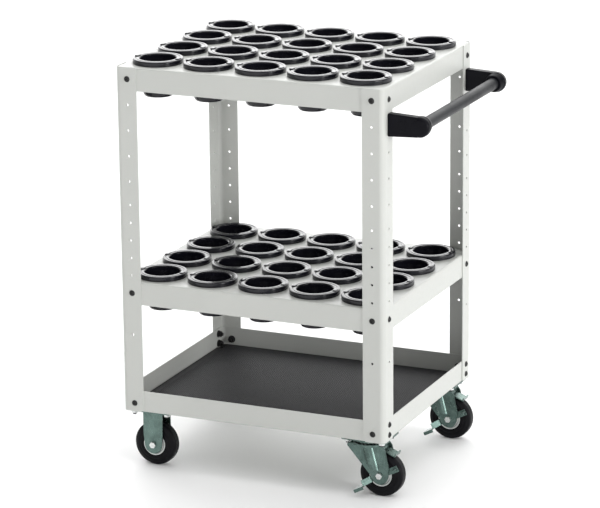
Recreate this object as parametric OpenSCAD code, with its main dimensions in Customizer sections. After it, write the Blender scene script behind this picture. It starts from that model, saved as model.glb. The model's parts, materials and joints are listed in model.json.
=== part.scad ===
// Two-shelf trolley for taper-shank tool holders: four angle posts, two punched trays full of
// moulded sleeves, a bottom tray with a rubber mat, a push handle and four casters.
// The origin is on the floor, under the middle of the whole trolley. The handle is on +X.

/* [Frame] */
// Width over the posts, from the plain end to the handle end
frame_w = 626; // [616:1:680]
// Depth over the posts
frame_d = 517; // [510:1:560]
// Length of each post
post_h = 780; // [760:1:900]
// Width of each flange of a post
post_leg = 50; // [44:1:56]
// Thickness of the sheet of the posts
post_t = 2; // [1.5:0.5:2]
// Distance of the fixing holes from the corner of the post
hole_in = 28; // [26:1:32]

/* [Trays] */
// Thickness of the sheet of the trays
tray_t = 2; // [1.5:0.5:2]
// Depth of the down-turned flanges of the two tool trays
tool_flange_h = 52; // [46:1:60]
// Height of the up-turned flanges of the bottom tray
bottom_flange_h = 48; // [46:1:60]
// Drop from the upper tool tray to the lower one
tray_drop = 481; // [401:40:481]
// Thickness of the rubber mat
mat_t = 4; // [4:0.5:6]

/* [Sleeves] */
// Sleeves in each row, along the width
columns = 5; // [3:1:5]
// Distance between columns
column_pitch = 122; // [116:1:122]
// Distance between rows
row_pitch = 125; // [116:1:125]
// Outer diameter of a sleeve's ring
ring_d = 111; // [104:1:114]
// Height of the ring above the tray
ring_h = 11; // [9:1:14]
// Diameter of the mouth of a sleeve
mouth_d = 80; // [70:1:82]
// Depth of a sleeve below the tray
sleeve_depth = 72; // [58:1:80]

/* [Handle] */
// Distance of the bar from the posts
bar_out = 70; // [60:1:90]
// Diameter of the bar
bar_d = 26; // [24:1:30]
// Drop from the top of the posts to the bar
bar_drop = 80; // [78:1:120]

/* [Casters] */
// Height of the casters, from the floor to the bottom tray
caster_h = 135; // [132:1:150]
// Diameter of the wheels
wheel_d = 100; // [90:1:102]
// Width of the tyres
tyre_w = 32; // [28:1:32]
// Distance of each caster from the middle of the trolley, along the width
caster_x = 257; // [240:1:257]
// Distance of each caster from the middle of the trolley, along the depth
caster_y = 206; // [190:1:206]
// Distance of a swivel caster's axle from its swivel axis
trail = 31; // [26:1:34]

/* [Hidden] */
$fn = 48;
// rows of sleeves along the depth, each a node of its own
rows = 4;
// screws: button heads of M8, flange nuts of M8
screw_r = 4;
screw_hole_r = 4.25;
spare_hole_r = 2.75;
head_r = 7;
head_h = 4.4;
shank_len = 16;
nut_af = 13;
nut_h = 8;
nut_flange_r = 8.5;
thread_gap = 0.05;
// plan of the posts and trays
post_r = 12;
handle_round = 22.5;
mid_x = (head_h - bar_out - handle_round) / 2;
right_x = mid_x + frame_w / 2;
top_z = caster_h + post_h;
tray_w = frame_w - 2 * post_t;
tray_d = frame_d - 2 * post_t;
tray_corner = 12;
tray_bend = 4;
body_r = 48;
lug_h = 2;
// fixings, as drops from the top of the posts
upper_drop = tool_flange_h / 2;
lower_drop = tray_drop + tool_flange_h / 2;
bottom_front_drop = post_h - 19;
bottom_side_drops = [post_h - 36, post_h - 13];
spare_drops = concat([for (i = [0:3]) 83 + 57 * i], [for (i = [0:4]) 307 + 40 * i], [602]);
// handle
bar_z = top_z - bar_drop;
bracket_t = 19.5;
bracket_y = frame_d / 2 - 30;
bracket_root = 25;
bar_wall = 2;
bar_fit = 0.05;
socket_in = bracket_y - 16;
socket_deep = 20;
mouth_out = 7;
bar_screw_r = 2;
handle_screw_r = 3;
handle_screw_drops = [-14, 14];
cap_in = 32;
// casters
wheel_r = wheel_d / 2;
plate_x = 105;
plate_y = 85;
plate_t = 4;
plate_hole_x = 40;
plate_hole_y = 30;
plate_z = caster_h - plate_t;
fork_in = 19;
fork_t = 3;
fork_out = fork_in + fork_t;
bush_r = 6;
hub_r = 26;
low_head_h = 3;
thin_nut_h = 6.5;
race_z = caster_h - 10;
crown_z = caster_h - 14;
crown_t = 5;
crown_r = 37;
ball_r = 3;
ball_ring = 26;
balls = 20;
kingpin_r = 6;
lever_t = 2;
lever_y = fork_in - 0.5;
shoe_pin = [trail + 2, wheel_r + 58];
shoe_pin_r = 3;

sheet_grey = [0.80, 0.81, 0.79];
gloss_black = [0.10, 0.10, 0.11];
fixing_black = [0.08, 0.08, 0.08];
handle_black = [0.12, 0.12, 0.14];
zinc = [0.55, 0.64, 0.61];
rubber_black = [0.06, 0.06, 0.07];

// ---------- shared outlines ----------

// An upright rectangle standing on the x axis, with both of its top corners rounded.
module arch_2d(w, h, r) {
    translate([-w / 2, 0]) square([w, h - r]);
    translate([-w / 2 + r, 0]) square([w - 2 * r, h]);
    for (s = [-1, 1]) translate([s * (w / 2 - r), h - r]) circle(r);
}

// A rectangle about the origin with round corners.
module plaque_2d(w, d, r) {
    square([w - 2 * r, d], center = true);
    square([w, d - 2 * r], center = true);
    for (sx = [-1, 1], sy = [-1, 1]) translate([sx * (w / 2 - r), sy * (d / 2 - r)]) circle(r);
}

// What is left of a square corner once it is rounded.
module corner_waste_2d(r) {
    difference() {
        translate([-1, -1]) square(r + 1);
        translate([r, r]) circle(r);
    }
}

// Puts a child, drawn outwards along +Z, on the fixing holes of all four posts.
module at_fixings(face_drops, side_drops) {
    for (sx = [-1, 1], sy = [-1, 1]) {
        for (d = face_drops)
            translate([mid_x + sx * (frame_w / 2 - hole_in), sy * frame_d / 2, top_z - d])
                rotate([-90 * sy, 0, 0]) children();
        for (d = side_drops)
            translate([mid_x + sx * frame_w / 2, sy * (frame_d / 2 - hole_in), top_z - d])
                rotate([0, 90 * sx, 0]) children();
    }
}

// ---------- frame ----------

// Section of an angle with its corner at the origin and its flanges along +X and +Y.
module angle_2d(leg, t, r) {
    translate([r, 0]) square([leg - r, t]);
    translate([0, r]) square([t, leg - r]);
    intersection() {
        difference() {
            translate([r, r]) circle(r);
            translate([r, r]) circle(r - t);
        }
        square(r);
    }
}

module post_holes(drops, r) {
    for (d = drops) translate([hole_in, -1, post_h - d]) rotate([-90, 0, 0])
        cylinder(r = r, h = post_t + 2);
}

module post(sx, sy) {
    face_drops = [upper_drop, lower_drop, bottom_front_drop];
    // a post with a handle bracket has the bracket's two screw holes in place of its first spare hole
    handle_end = sx > 0;
    side_spares = [for (i = [handle_end ? 1 : 0 : len(spare_drops) - 1]) spare_drops[i]];
    color(sheet_grey)
        translate([mid_x + sx * frame_w / 2, sy * frame_d / 2, caster_h])
        mirror([sx > 0 ? 1 : 0, 0, 0]) mirror([0, sy > 0 ? 1 : 0, 0])
        difference() {
            linear_extrude(post_h) angle_2d(post_leg, post_t, post_r);
            post_holes(face_drops, screw_hole_r);
            post_holes(spare_drops, spare_hole_r);
            mirror([1, -1, 0]) {
                post_holes(concat([upper_drop, lower_drop], bottom_side_drops), screw_hole_r);
                post_holes(side_spares, spare_hole_r);
            }
            // round the lower corner of each flange
            translate([post_leg, -1, 0]) mirror([1, 0, 0]) rotate([90, 0, 0])
                translate([0, 0, -post_t - 2]) linear_extrude(post_t + 2) corner_waste_2d(9);
            mirror([1, -1, 0]) translate([post_leg, -1, 0]) mirror([1, 0, 0]) rotate([90, 0, 0])
                translate([0, 0, -post_t - 2]) linear_extrude(post_t + 2) corner_waste_2d(9);
            if (handle_end) {
                for (d = handle_screw_drops)
                    translate([-1, frame_d / 2 - bracket_y, post_h - bar_drop + d])
                        rotate([0, 90, 0]) cylinder(r = handle_screw_r + 0.3, h = post_t + 2);
            }
        }
}

module front_left_post() post(-1, -1);
module front_right_post() post(1, -1);
module rear_left_post() post(-1, 1);
module rear_right_post() post(1, 1);

// ---------- trays ----------

// Half of a folded edge: a block from the inside out to run, with its top outer edge rounded.
module edge_2d(run, h, r) {
    square([run, h - r]);
    square([run - r, h]);
    translate([run - r, h - r]) intersection() {
        circle(r);
        square(r);
    }
}

// A block with round upright corners of radius rc and a round top edge of radius rb.
module soft_block(w, d, h, rc, rb) {
    translate([-w / 2 + rc, -d / 2 + rc, 0]) cube([w - 2 * rc, d - 2 * rc, h]);
    for (a = [0, 180]) {
        rotate([0, 0, a]) translate([w / 2 - rc, 0, 0]) rotate([90, 0, 0])
            linear_extrude(d - 2 * rc, center = true) edge_2d(rc, h, rb);
        rotate([0, 0, a + 90]) translate([d / 2 - rc, 0, 0]) rotate([90, 0, 0])
            linear_extrude(w - 2 * rc, center = true) edge_2d(rc, h, rb);
    }
    for (sx = [-1, 1], sy = [-1, 1])
        translate([sx * (w / 2 - rc), sy * (d / 2 - rc), 0])
            rotate([0, 0, sx > 0 ? (sy > 0 ? 0 : -90) : (sy > 0 ? 90 : 180)])
                rotate_extrude(angle = 90) edge_2d(rc, h, rb);
}

// A folded sheet tray, open below, with its deck's top face at z = 0.
module folded_tray(h) {
    translate([mid_x, 0, -h]) difference() {
        soft_block(tray_w, tray_d, h, tray_corner, tray_bend);
        translate([0, 0, -1]) soft_block(tray_w - 2 * tray_t, tray_d - 2 * tray_t,
            h - tray_t + 1, tray_corner - tray_t, tray_bend - tray_t);
    }
}

module fixing_drill() translate([0, 0, -12]) cylinder(r = screw_hole_r, h = 14);

function column_x(i) = mid_x + (i - (columns - 1) / 2) * column_pitch;
function row_y(j) = (j - (rows - 1) / 2) * row_pitch;

module tool_tray(z, drop) {
    color(sheet_grey) difference() {
        translate([0, 0, z]) folded_tray(tool_flange_h);
        for (i = [0:columns - 1], j = [0:rows - 1])
            translate([column_x(i), row_y(j), z - tray_t - 1])
                cylinder(r = body_r + 0.3, h = tray_t + 2);
        at_fixings([drop], [drop]) fixing_drill();
    }
}

module upper_tool_tray() tool_tray(top_z, upper_drop);
module lower_tool_tray() tool_tray(top_z - tray_drop, lower_drop);

// Places a child at each caster: sx is -1 for the rigid pair and 1 for the swivel pair.
module at_caster(sx, sy) translate([mid_x + sx * caster_x, sy * caster_y, 0]) children();

module at_plate_holes() {
    for (sx = [-1, 1], sy = [-1, 1]) translate([sx * plate_hole_x, sy * plate_hole_y, 0]) children();
}

module bottom_tray() {
    color(sheet_grey) difference() {
        translate([0, 0, caster_h]) mirror([0, 0, 1]) folded_tray(bottom_flange_h);
        at_fixings([bottom_front_drop], bottom_side_drops) fixing_drill();
        for (sx = [-1, 1], sy = [-1, 1]) at_caster(sx, sy) at_plate_holes()
            translate([0, 0, caster_h - 1]) cylinder(r = screw_hole_r, h = tray_t + 2);
    }
}

module bottom_mat() {
    mat_gap = 2.2;
    notch_deep = 20;
    color(rubber_black) difference() {
        translate([mid_x, 0, caster_h + tray_t]) linear_extrude(mat_t)
            plaque_2d(tray_w - 2 * tray_t - 2 * mat_gap, tray_d - 2 * tray_t - 2 * mat_gap, 9);
        // room for the nuts at the edges and for the screw heads underneath
        at_fixings([bottom_front_drop], bottom_side_drops)
            translate([0, 0, -notch_deep / 2])
                cube([2 * nut_flange_r + 2, 2 * nut_flange_r + 2, notch_deep], center = true);
        for (sx = [-1, 1], sy = [-1, 1]) at_caster(sx, sy) at_plate_holes()
            translate([0, 0, caster_h]) cylinder(r = head_r + 1, h = tray_t + low_head_h + 0.3);
    }
}

// ---------- sleeves ----------

module sleeve_2d() {
    ro = ring_d / 2;
    rm = mouth_d / 2;
    edge = 2.5;
    rt = rm - (sleeve_depth * 7 / 24) / 2;
    polygon([[rm + 1.5, ring_h], [rm, ring_h - 1.5], [rm, 0.5], [rt, -sleeve_depth],
        [rt + 4, -sleeve_depth], [body_r - 3, -16], [body_r, -12], [body_r, 0], [ro, 0],
        [ro, ring_h - edge], [ro - edge, ring_h]]);
    translate([ro - edge, ring_h - edge]) circle(edge);
}

// A sleeve with its ring on z = 0: the ring, the tapered body, two drive lugs and four snap barbs.
module sleeve() {
    rotate_extrude() sleeve_2d();
    translate([0, 0, ring_h - 1]) linear_extrude(1 + lug_h) intersection() {
        difference() {
            circle(ring_d / 2 - 2.5);
            circle(mouth_d / 2 + 4);
        }
        square([ring_d, 15], center = true);
    }
    for (i = [0:3]) rotate([0, 0, 45 + 90 * i]) translate([body_r - 1, 0, -tray_t - 0.4])
        rotate([90, 0, 0]) linear_extrude(12, center = true) polygon([[0, 0], [3, 0], [0, -9]]);
}

module sleeve_row(z, j) {
    color(gloss_black) for (i = [0:columns - 1]) translate([column_x(i), row_y(j), z]) sleeve();
}

module upper_sleeves_row_1() sleeve_row(top_z, 0);
module upper_sleeves_row_2() sleeve_row(top_z, 1);
module upper_sleeves_row_3() sleeve_row(top_z, 2);
module upper_sleeves_row_4() sleeve_row(top_z, 3);
module lower_sleeves_row_1() sleeve_row(top_z - tray_drop, 0);
module lower_sleeves_row_2() sleeve_row(top_z - tray_drop, 1);
module lower_sleeves_row_3() sleeve_row(top_z - tray_drop, 2);
module lower_sleeves_row_4() sleeve_row(top_z - tray_drop, 3);

// ---------- fixings of the trays ----------

// A button-head screw whose head sits on z = 0.
module button_screw() {
    dome_r = (head_r * head_r + head_h * head_h) / (2 * head_h);
    difference() {
        union() {
            rotate_extrude() intersection() {
                translate([0, head_h - dome_r]) circle(dome_r);
                square([head_r, head_h]);
            }
            translate([0, 0, -shank_len]) cylinder(r = screw_r, h = shank_len + 0.5);
        }
        translate([0, 0, head_h - 2.6]) cylinder(r = 5 / sqrt(3), h = 3, $fn = 6);
    }
}

// A flange nut that bears on the inside of the post and tray at that screw.
module flange_nut() {
    translate([0, 0, -post_t - tray_t - nut_h]) difference() {
        union() {
            cylinder(r = nut_af / sqrt(3), h = nut_h, $fn = 6);
            translate([0, 0, nut_h - 1.6]) cylinder(r = nut_flange_r, h = 1.6);
        }
        translate([0, 0, -1]) cylinder(r = screw_r + thread_gap, h = nut_h + 2);
    }
}

module upper_tray_screws() color(fixing_black) at_fixings([upper_drop], [upper_drop]) button_screw();
module upper_tray_nuts() color(fixing_black) at_fixings([upper_drop], [upper_drop]) flange_nut();
module lower_tray_screws() color(fixing_black) at_fixings([lower_drop], [lower_drop]) button_screw();
module lower_tray_nuts() color(fixing_black) at_fixings([lower_drop], [lower_drop]) flange_nut();
module bottom_tray_screws()
    color(fixing_black) at_fixings([bottom_front_drop], bottom_side_drops) button_screw();
module bottom_tray_nuts()
    color(fixing_black) at_fixings([bottom_front_drop], bottom_side_drops) flange_nut();

// ---------- handle ----------

// The front bracket: an arm with round edges, a round elbow and a collar round the bar.
module bracket() {
    outer_y = -bracket_y - bracket_t / 2;
    elbow_len = -outer_y - socket_in;
    collar_len = 8;
    cap_pocket = 1.5;
    translate([right_x, 0, bar_z]) difference() {
        union() {
            translate([0, outer_y + bracket_t, 0]) rotate([90, 0, 0]) linear_extrude(bracket_t)
                polygon([[0, -bracket_root], [0, bracket_root], [bar_out, handle_round],
                    [bar_out, -handle_round]]);
            // elbow, with a soft outer end
            translate([bar_out, -socket_in, 0]) rotate([90, 0, 0]) rotate_extrude()
                edge_2d(handle_round, elbow_len, 7);
            // collar
            translate([bar_out, -socket_in + mouth_out, 0]) rotate([90, 0, 0]) rotate_extrude()
                edge_2d(bar_d / 2 + 5, collar_len, 1);
        }
        translate([bar_out, -socket_in - socket_deep + mouth_out, 0]) rotate([-90, 0, 0])
            cylinder(r = bar_d / 2 + bar_fit, h = socket_deep + 1);
        for (d = handle_screw_drops) translate([-1, -bracket_y, d]) rotate([0, 90, 0])
            cylinder(r = handle_screw_r + thread_gap, h = 17);
        translate([bar_out, -socket_in, -handle_round - 1]) {
            cylinder(r = bar_screw_r + thread_gap, h = handle_round);
            cylinder(r = 4.6, h = 7);
        }
        // pocket of the cap
        translate([cap_in, outer_y + cap_pocket, 0]) rotate([90, 0, 0]) linear_extrude(5)
            plaque_2d(15.4, 25.4, 2.7);
    }
}

module front_handle_bracket() color(handle_black) bracket();
module rear_handle_bracket() color(handle_black) mirror([0, 1, 0]) bracket();

module handle_caps() {
    color(handle_black) for (m = [0, 1]) mirror([0, m, 0])
        translate([right_x + cap_in, -bracket_y - bracket_t / 2 + 1.5, bar_z]) rotate([90, 0, 0]) {
            linear_extrude(2.2) plaque_2d(15, 25, 2.5);
            linear_extrude(2.8) plaque_2d(11, 21, 2);
        }
}

bar_half = socket_in - mouth_out + socket_deep - 0.5;

module handle_bar() {
    color(handle_black) difference() {
        translate([right_x + bar_out, bar_half, bar_z]) rotate([90, 0, 0])
            cylinder(r = bar_d / 2, h = 2 * bar_half);
        translate([right_x + bar_out, bar_half + 1, bar_z]) rotate([90, 0, 0])
            cylinder(r = bar_d / 2 - bar_wall, h = 2 * bar_half + 2);
        for (s = [-1, 1]) translate([right_x + bar_out, s * socket_in, bar_z - bar_d / 2 - 1])
            cylinder(r = bar_screw_r + thread_gap, h = bar_wall + 2);
    }
}

// Two screws hold each bracket, from the inside of the post.
module handle_screws() {
    color(fixing_black) for (s = [-1, 1], d = handle_screw_drops)
        translate([right_x - post_t, s * bracket_y, bar_z + d]) rotate([0, -90, 0]) difference() {
            union() {
                cylinder(r = 5, h = 5);
                translate([0, 0, -post_t - 15]) cylinder(r = handle_screw_r, h = post_t + 15.5);
            }
            translate([0, 0, 2.4]) cylinder(r = 5 / sqrt(3), h = 3, $fn = 6);
        }
}

// A screw under each elbow holds the bar.
module handle_bar_screws() {
    color(fixing_black) for (s = [-1, 1])
        translate([right_x + bar_out, s * socket_in, bar_z - handle_round + 3]) difference() {
            union() {
                cylinder(r = bar_screw_r, h = handle_round - bar_d / 2 + 2);
                cylinder(r = 4.4, h = 2.8);
            }
            translate([0, 0, -1]) cylinder(r = 2.5 / sqrt(3), h = 2.5, $fn = 6);
        }
}

// ---------- casters: parts that all four share ----------

// Low-head screws come down through the bottom tray and the caster's plate.
module caster_screws() {
    color(fixing_black) for (sx = [-1, 1], sy = [-1, 1]) at_caster(sx, sy) at_plate_holes()
        translate([0, 0, caster_h + tray_t]) difference() {
            union() {
                cylinder(r = head_r, h = low_head_h);
                translate([0, 0, -shank_len]) cylinder(r = screw_r, h = shank_len + 0.5);
            }
            translate([0, 0, 1.2]) cylinder(r = 5 / sqrt(3), h = 3, $fn = 6);
        }
}

module caster_nuts() {
    color(zinc) for (sx = [-1, 1], sy = [-1, 1]) at_caster(sx, sy) at_plate_holes()
        translate([0, 0, plate_z - thin_nut_h]) difference() {
            union() {
                cylinder(r = nut_af / sqrt(3), h = thin_nut_h, $fn = 6);
                translate([0, 0, thin_nut_h - 1.2]) cylinder(r = nut_flange_r, h = 1.2);
            }
            translate([0, 0, -1]) cylinder(r = screw_r + thread_gap, h = thin_nut_h + 2);
        }
}

module plate() {
    translate([0, 0, plate_z]) difference() {
        linear_extrude(plate_t) plaque_2d(plate_x, plate_y, 8);
        at_plate_holes() translate([0, 0, -1]) cylinder(r = screw_hole_r, h = plate_t + 2);
    }
}

// Turns a child drawn about +Z so that it lies along the axle, its +Z end to the front.
module on_axle(x) translate([x, 0, wheel_r]) rotate([90, 0, 0]) children();

// The wheel's centre: a boss on the bush, a web and a rim with a bright lip.
module hub(x) {
    color(zinc) on_axle(x) rotate_extrude() difference() {
        translate([bush_r + 0.05, -tyre_w / 2]) square([hub_r - bush_r - 0.05, tyre_w]);
        for (s = [-1, 1]) translate([13, s * (tyre_w / 2 - 1.5) - 2.5]) square([9.5, 5]);
        for (s = [-1, 1]) translate([hub_r, s * tyre_w / 2]) rotate([0, 0, 45])
            square(1.5, center = true);
    }
}

// A solid tyre with round shoulders and a shallow step in each side wall.
module tyre(x) {
    half = tyre_w / 2;
    shoulder = 7;
    color(rubber_black) on_axle(x) rotate_extrude() difference() {
        union() {
            translate([hub_r, -half]) square([wheel_r - shoulder - hub_r, tyre_w]);
            translate([wheel_r - shoulder - 1, -half + shoulder])
                square([shoulder + 1, tyre_w - 2 * shoulder]);
            for (s = [-1, 1]) translate([wheel_r - shoulder, s * (half - shoulder)])
                circle(shoulder);
        }
        for (s = [-1, 1]) translate([hub_r + 2, s * half - 1]) square([7, 2]);
    }
}

module axle_bush(x) {
    color(zinc) on_axle(x) difference() {
        cylinder(r = bush_r, h = 2 * fork_in, center = true);
        cylinder(r = screw_r + thread_gap, h = 2 * fork_in + 2, center = true);
    }
}

// The axle bolt's head is in front, at head_y from the wheel's middle.
module axle_bolt(x, head_y) {
    tail = fork_out + 9;
    color(zinc) on_axle(x) {
        translate([0, 0, head_y]) cylinder(r = nut_af / sqrt(3), h = 5.3, $fn = 6);
        translate([0, 0, -tail]) cylinder(r = screw_r, h = head_y + tail);
    }
}

module axle_nut(x) {
    color(zinc) on_axle(x) translate([0, 0, -fork_out - 7]) difference() {
        cylinder(r = nut_af / sqrt(3), h = 7, $fn = 6);
        translate([0, 0, -1]) cylinder(r = screw_r + thread_gap, h = 9);
    }
}

// ---------- rigid casters ----------

// The fork is one pressed channel with legs that end round the axle, welded under its plate.
module rigid_fork() {
    leg_w = 47;
    end_r = 21;
    top = plate_z - wheel_r + 0.2;
    color(zinc) {
        plate();
        difference() {
            intersection() {
                translate([0, 0, wheel_r - end_r]) rotate([90, 0, 90])
                    linear_extrude(leg_w + 2, center = true) difference() {
                        arch_2d(2 * fork_out, top + end_r, 6);
                        translate([0, -1]) arch_2d(2 * fork_in, top + end_r - fork_t + 1, 3);
                    }
                translate([0, 0, wheel_r]) rotate([90, 0, 0])
                    linear_extrude(2 * fork_out + 2, center = true) union() {
                        circle(end_r);
                        polygon([[-end_r, 0], [-leg_w / 2, 24], [-leg_w / 2, top + 1],
                            [leg_w / 2, top + 1], [leg_w / 2, 24], [end_r, 0]]);
                    }
            }
            on_axle(0) cylinder(r = screw_r + thread_gap, h = 2 * fork_out + 2, center = true);
        }
    }
}

module front_rigid_fork() at_caster(-1, -1) rigid_fork();
module rear_rigid_fork() at_caster(-1, 1) rigid_fork();
module rigid_axle_bolts() for (sy = [-1, 1]) at_caster(-1, sy) axle_bolt(0, fork_out);
module rigid_axle_nuts() for (sy = [-1, 1]) at_caster(-1, sy) axle_nut(0);
module rigid_axle_bushes() for (sy = [-1, 1]) at_caster(-1, sy) axle_bush(0);
module front_rigid_hub() at_caster(-1, -1) hub(0);
module rear_rigid_hub() at_caster(-1, 1) hub(0);
module front_rigid_tyre() at_caster(-1, -1) tyre(0);
module rear_rigid_tyre() at_caster(-1, 1) tyre(0);

// ---------- swivel casters ----------

// The groove that the balls run in.
module ball_groove() {
    translate([0, 0, (race_z + crown_z) / 2]) rotate_extrude()
        translate([ball_ring, 0]) circle(ball_r + 0.1);
}

module swivel_plate() {
    difference() {
        union() {
            plate();
            translate([0, 0, race_z]) cylinder(r = crown_r - 3, h = plate_z - race_z + 0.1);
        }
        ball_groove();
        translate([0, 0, race_z - 1]) cylinder(r = kingpin_r + thread_gap, h = 20);
        translate([0, 0, caster_h - 2.5]) cylinder(r = 10, h = 4);
    }
}

module swivel_plates() color(zinc) for (sy = [-1, 1]) at_caster(1, sy) swivel_plate();

module swivel_kingpins() {
    color(zinc) for (sy = [-1, 1]) at_caster(1, sy) {
        translate([0, 0, crown_z - crown_t - 3.8]) cylinder(r = 10.5, h = 3.5);
        translate([0, 0, crown_z - crown_t - 1]) cylinder(r = kingpin_r, h = 19.5);
        translate([0, 0, caster_h - 2.4]) cylinder(r = 9.5, h = 2.3);
    }
}

module swivel_balls() {
    color("dimgray") for (sy = [-1, 1]) at_caster(1, sy) for (i = [0:balls - 1])
        rotate([0, 0, 360 / balls * i]) translate([ball_ring, 0, (race_z + crown_z) / 2])
            sphere(ball_r);
}

// Side view of a fork's leg: wide under the crown, narrowing to a round end at the axle.
module swivel_leg_2d() {
    polygon([[-36, crown_z], [-44, crown_z - 6], [-44, crown_z - 10], [trail - 20, wheel_r - 2],
        [trail + 20, wheel_r], [trail + 22, wheel_r + 22], [44, crown_z - 12], [36, crown_z]]);
    translate([trail, wheel_r]) circle(20);
}

module swivel_fork() {
    depth = crown_z - wheel_r + 22;
    rib_r = 14;
    rib_out = 6;
    color(zinc) difference() {
        union() {
            translate([0, 0, crown_z - crown_t]) cylinder(r = crown_r, h = crown_t);
            intersection() {
                translate([0, 0, crown_z - depth]) rotate([90, 0, 90])
                    linear_extrude(160, center = true) difference() {
                        arch_2d(2 * fork_out, depth, 6);
                        translate([0, -1]) arch_2d(2 * fork_in, depth - crown_t + 1, 3);
                    }
                rotate([90, 0, 0]) linear_extrude(2 * fork_out + 2, center = true) swivel_leg_2d();
            }
            // a pressed rib down each leg, from the crown to just above the axle
            for (m = [0, 1]) mirror([0, m, 0]) intersection() {
                translate([1, -fork_out + rib_r - rib_out, crown_z]) rotate([0, 165, 0])
                    cylinder(r = rib_r, h = crown_z - wheel_r);
                translate([-60, -fork_out - rib_out, wheel_r + 12])
                    cube([120, rib_out + fork_t - 0.5, crown_z - wheel_r - 14]);
            }
            // the pin that the brake shoe turns on
            translate([shoe_pin[0], fork_in + 1, shoe_pin[1]]) rotate([90, 0, 0])
                cylinder(r = shoe_pin_r, h = 2 * fork_in + 2);
        }
        on_axle(trail) cylinder(r = screw_r + thread_gap, h = 2 * fork_out + 12, center = true);
        ball_groove();
        translate([0, 0, crown_z - 20]) cylinder(r = kingpin_r + thread_gap, h = 24);
    }
}

// The brake lever: a strip on the bush, inside the fork's front leg. Its low end slants out under
// the leg to a foot pad with a lip, and its high end turns out into a release tab.
module brake_lever() {
    slope = 27;
    strip = 14;
    ring = 12;
    bend = -21;
    slant = 18;
    pad = [-60, -37];
    pad_out = [-28, -4];
    pad_t = 2.5;
    pad_lip = 5;
    tab = [35, 46];
    tab_out = 14;
    color(zinc) translate([trail, -lever_y, wheel_r]) rotate([0, -slope, 0]) difference() {
        union() {
            translate([0, lever_t, 0]) rotate([90, 0, 0]) linear_extrude(lever_t) {
                circle(ring);
                translate([bend, -strip / 2]) square([tab[1] - bend, strip]);
            }
            // the slant, at 45 degrees to the wheel
            translate([bend, lever_t, -strip / 2]) linear_extrude(strip)
                polygon([[0, 0], [-slant, -slant], [-slant, -slant - lever_t * sqrt(2)],
                    [0, -lever_t * sqrt(2)]]);
            // foot pad, with a lip under its front edge
            translate([pad[0], pad_out[0], -strip / 2]) {
                cube([pad[1] - pad[0], pad_out[1] - pad_out[0], pad_t]);
                translate([0, 0, -pad_lip]) cube([pad[1] - pad[0], pad_t, pad_lip + 1]);
            }
            // release tab and its upright end
            translate([tab[0], -tab_out, 1]) {
                cube([tab[1] - tab[0], tab_out + lever_t, lever_t]);
                translate([0, 0, -6]) cube([tab[1] - tab[0], lever_t, 7]);
            }
        }
        translate([0, lever_t + 1, 0]) rotate([90, 0, 0])
            cylinder(r = bush_r + thread_gap, h = lever_t + 2);
    }
}

// The brake shoe: a barrel on its pin and a plate over the tread, turned up at its far end.
module brake_shoe() {
    reach = 34;
    tilt = 22;
    width = 30;
    sheet = 2.5;
    turn_up = 8;
    barrel_r = 5;
    color(zinc) translate([shoe_pin[0], 0, shoe_pin[1]]) difference() {
        union() {
            rotate([90, 0, 0]) cylinder(r = barrel_r, h = 2 * fork_in - 1, center = true);
            rotate([0, tilt, 0]) translate([0, -width / 2, -1.5]) {
                cube([reach, width, sheet]);
                translate([reach - sheet, 0, 0]) cube([sheet, width, turn_up]);
            }
        }
        rotate([90, 0, 0]) cylinder(r = shoe_pin_r + thread_gap, h = 2 * fork_in, center = true);
    }
}

module front_swivel_fork() at_caster(1, -1) swivel_fork();
module front_axle_bolt() at_caster(1, -1) axle_bolt(trail, fork_out);
module front_axle_nut() at_caster(1, -1) axle_nut(trail);
module front_axle_bush() at_caster(1, -1) axle_bush(trail);
module front_swivel_hub() at_caster(1, -1) hub(trail);
module front_swivel_tyre() at_caster(1, -1) tyre(trail);
module front_brake_lever() at_caster(1, -1) brake_lever();
module front_brake_shoe() at_caster(1, -1) brake_shoe();
module rear_swivel_fork() at_caster(1, 1) swivel_fork();
module rear_axle_bolt() at_caster(1, 1) axle_bolt(trail, fork_out);
module rear_axle_nut() at_caster(1, 1) axle_nut(trail);
module rear_axle_bush() at_caster(1, 1) axle_bush(trail);
module rear_swivel_hub() at_caster(1, 1) hub(trail);
module rear_swivel_tyre() at_caster(1, 1) tyre(trail);
module rear_brake_lever() at_caster(1, 1) brake_lever();
module rear_brake_shoe() at_caster(1, 1) brake_shoe();

front_left_post();
front_right_post();
rear_left_post();
rear_right_post();
upper_tool_tray();
lower_tool_tray();
bottom_tray();
bottom_mat();
upper_sleeves_row_1();
upper_sleeves_row_2();
upper_sleeves_row_3();
upper_sleeves_row_4();
lower_sleeves_row_1();
lower_sleeves_row_2();
lower_sleeves_row_3();
lower_sleeves_row_4();
upper_tray_screws();
upper_tray_nuts();
lower_tray_screws();
lower_tray_nuts();
bottom_tray_screws();
bottom_tray_nuts();
front_handle_bracket();
rear_handle_bracket();
handle_bar();
handle_caps();
handle_screws();
handle_bar_screws();
caster_screws();
caster_nuts();
front_rigid_fork();
rear_rigid_fork();
rigid_axle_bolts();
rigid_axle_nuts();
rigid_axle_bushes();
front_rigid_hub();
rear_rigid_hub();
front_rigid_tyre();
rear_rigid_tyre();
swivel_plates();
swivel_kingpins();
swivel_balls();
front_swivel_fork();
front_axle_bolt();
front_axle_nut();
front_axle_bush();
front_swivel_hub();
front_swivel_tyre();
front_brake_lever();
front_brake_shoe();
rear_swivel_fork();
rear_axle_bolt();
rear_axle_nut();
rear_axle_bush();
rear_swivel_hub();
rear_swivel_tyre();
rear_brake_lever();
rear_brake_shoe();
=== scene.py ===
"""Tool holder trolley: the finished look of every piece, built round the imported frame."""

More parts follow.
